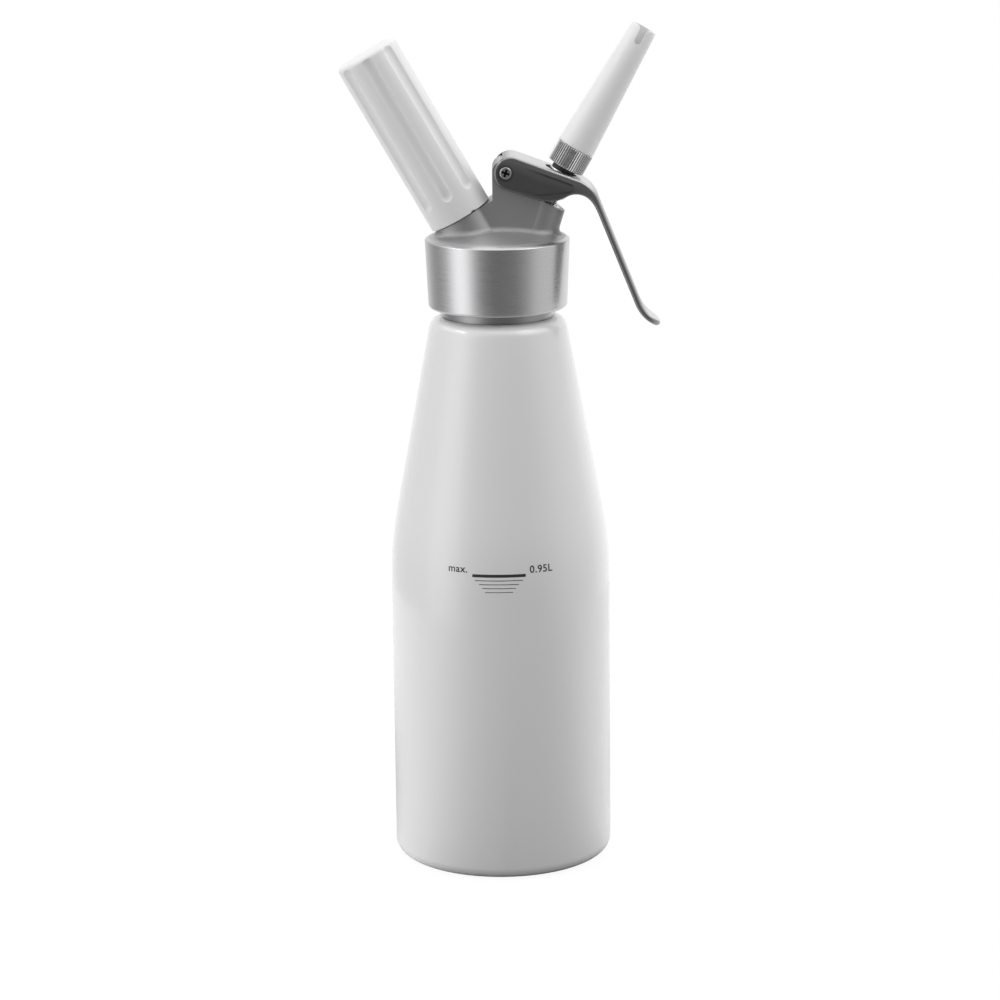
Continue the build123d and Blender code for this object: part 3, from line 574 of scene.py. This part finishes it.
def level_mark():
    """The printed fill mark: a thick bar at the level, shorter lines under it, a word and a capacity."""
    on_bottle = bottle_finder()
    points, faces = [], []
    for height, half_angle, thickness in MARK_LINES:
        columns = int(2 * half_angle) + 1
        start = len(points)
        for i in range(columns + 1):
            angle = MARK_MIDDLE + math.radians(half_angle) * (2 * i / columns - 1)
            points.append(on_bottle(angle, (height - thickness / 2) * MM))
            points.append(on_bottle(angle, (height + thickness / 2) * MM))
        for i in range(columns):
            a = start + 2 * i
            faces.append((a, a + 2, a + 3, a + 1))
    for text, middle, foot in MARK_WORDS:
        flat = letters(text)
        start = len(points)
        for vertex in flat.vertices:
            angle = math.radians(middle) + vertex.co.x / BOTTLE_RADIUS
            points.append(on_bottle(angle, foot * MM + vertex.co.y))
        faces += [tuple(start + i for i in face.vertices) for face in flat.polygons]
        bpy.data.meshes.remove(flat)
    add_piece("level_mark", points, faces, mark_ink(), "bottle", smooth=False)


# ------------------------------------------------ floor, light and camera
def white_to_camera(graph, shade, plain):
    """Light Path switch: the camera sees plain, also through a clear surface, and other rays see shade."""
    path = graph.node("ShaderNodeLightPath").outputs
    seen = graph.math("MAXIMUM", path["Is Camera Ray"], path["Is Transmission Ray"])
    return graph.mix_shaders(seen, shade, plain)


def floor_bounce(look):
    """Painted shade on the floor's colour for bounced light: darkest on the viewer's side, lighter behind and
    lightest at the sides.
    """
    dark_way = (math.sin(FLOOR_DARK_AZIMUTH), -math.cos(FLOOR_DARK_AZIMUTH), 0.0)
    outward = look.vector("NORMALIZE", look.place)["Vector"]
    in_front = look.vector("DOT_PRODUCT", outward, dark_way)["Value"]
    reach = look.vector("LENGTH", look.place)["Value"]
    turned_back = look.between(reach, -FLOOR_BEHIND_SHARE, 0.0, FLOOR_FADE_START, FLOOR_FADE_END)
    darkness = look.math("MAXIMUM", in_front, look.math("MULTIPLY", in_front, turned_back))
    level = look.eases(darkness, FLOOR_MOST_UNTIL, FLOOR_LEAST_FROM, FLOOR_MOST, FLOOR_LEAST)
    return look.node("ShaderNodeBsdfDiffuse", [("Color", level)]).outputs[0]


def pale_floor():
    """A disc of pale paper, which glows for the camera so that it meets the white background."""
    mesh = bpy.data.meshes.new("floor")
    bm = bmesh.new()
    bmesh.ops.create_circle(bm, cap_ends=True, segments=96, radius=FLOOR_RADIUS)
    bm.to_mesh(mesh)
    bm.free()
    floor = bpy.data.objects.new("floor", mesh)
    bpy.context.scene.collection.objects.link(floor)
    look = Finish("floor_paper", grey(0.85), 0.9)
    glow = look.node("ShaderNodeEmission", [("Strength", FLOOR_GLOW)]).outputs[0]
    paper = look.mix_shaders(FLOOR_GLOW_SHARE, look.shader.outputs[0], glow)
    look.feed(look.tree.nodes["Material Output"].inputs[0], white_to_camera(look, floor_bounce(look), paper))
    mesh.materials.append(look.material)


def room_walls(graph, azimuth):
    """The radiance of the walls at an azimuth, from -pi to pi, as ROOM_RADIANCE gives it."""
    ramp = graph.node("ShaderNodeValToRGB", [(0, graph.rises(azimuth, -math.pi, math.pi))])
    ramp.color_ramp.interpolation = "LINEAR"
    stops = ramp.color_ramp.elements
    stops[0].color = grey(ROOM_RADIANCE[0][1] / ROOM_PEAK)
    stops[-1].color = grey(ROOM_RADIANCE[-1][1] / ROOM_PEAK)
    for degrees, radiance in ROOM_RADIANCE[1:-1]:
        stops.new((degrees + 180) / 360).color = grey(radiance / ROOM_PEAK)
    return graph.math("MULTIPLY", ramp.outputs["Color"], ROOM_PEAK)


def studio_world():
    """A room that is dim on the viewer's side, brighter round the back and brightest at the left."""
    world = bpy.data.worlds.new("studio")
    bpy.context.scene.world = world
    world.use_nodes = True
    room = Graph(world.node_tree)
    x, y, z = room.parts(room.node("ShaderNodeTexCoord").outputs["Generated"])
    walls = room_walls(room, room.math("ARCTAN2", x, room.math("MULTIPLY", y, -1.0)))
    # above the walls the sides get brighter and the back gets dimmer
    beside = room.eases(room.math("ABSOLUTE", x), ASIDE_START, ASIDE_FULL, 0.0, PANEL_RADIANCE)
    panels = room.math("MAXIMUM", room.math("MINIMUM", walls, HIGH_BACK_RADIANCE), beside)
    around = room.mix(room.eases(z, PANELS_START, PANELS_FULL), walls, panels, data_type="FLOAT")
    upward = room.eases(z, CEILING_START, CEILING_FULL)
    light = room.tree.nodes["Background"]
    room.feed(light.inputs["Color"], grey(1.0))
    room.feed(light.inputs["Strength"], room.mix(upward, around, CEILING_RADIANCE, data_type="FLOAT"))
    white = room.node("ShaderNodeBackground", [("Color", grey(1.0)), ("Strength", 1.0)])
    seen = white_to_camera(room, light.outputs[0], white.outputs[0])
    room.feed(room.tree.nodes["World Output"].inputs[0], seen)


def softbox(name, azimuth, elevation, width, height, radiance, distance=1.3, target=(0.0, 0.0, 0.2)):
    """A rectangular soft light. Azimuth 0 is on the viewer's side, positive towards +X."""
    data = bpy.data.lights.new(name, "AREA")
    data.shape = "RECTANGLE"
    data.size, data.size_y = width, height
    data.energy = radiance * math.pi * width * height
    lamp = bpy.data.objects.new(name, data)
    turn, lift = math.radians(azimuth), math.radians(elevation)
    back = Vector((math.sin(turn) * math.cos(lift), -math.cos(turn) * math.cos(lift), math.sin(lift)))
    lamp.location = Vector(target) + back * distance
    lamp.rotation_euler = back.to_track_quat("Z", "Y").to_euler()
    lamp.visible_camera = False
    bpy.context.scene.collection.objects.link(lamp)


def photo_camera():
    """The camera at the photograph's angle, looking along +Y and down."""
    data = bpy.data.cameras.new("camera")
    data.sensor_width = CAMERA_SENSOR
    data.lens = CAMERA_LENS
    camera = bpy.data.objects.new("camera", data)
    tilt = Matrix.Rotation(math.radians(90) - CAMERA_PITCH, 4, "X")
    camera.matrix_world = Matrix.Translation(CAMERA_PLACE) @ tilt @ Matrix.Rotation(-CAMERA_ROLL, 4, "Z")
    bpy.context.scene.collection.objects.link(camera)
    bpy.context.scene.camera = camera


dress_nodes()
blast_head()
screw_threads()
coil_spring()
level_mark()

pale_floor()
studio_world()
# a lamp close to the charger holder, and a strip high up at the left
softbox(
    "high_softbox", azimuth=62, elevation=38, width=0.24, height=0.2, radiance=1.7,
    distance=0.42, target=(-0.04, 0.0, 0.33),
)
softbox("left_strip", azimuth=-80, elevation=44, width=0.45, height=0.12, radiance=6.0)
photo_camera()
bpy.context.scene.view_settings.view_transform = "Standard"
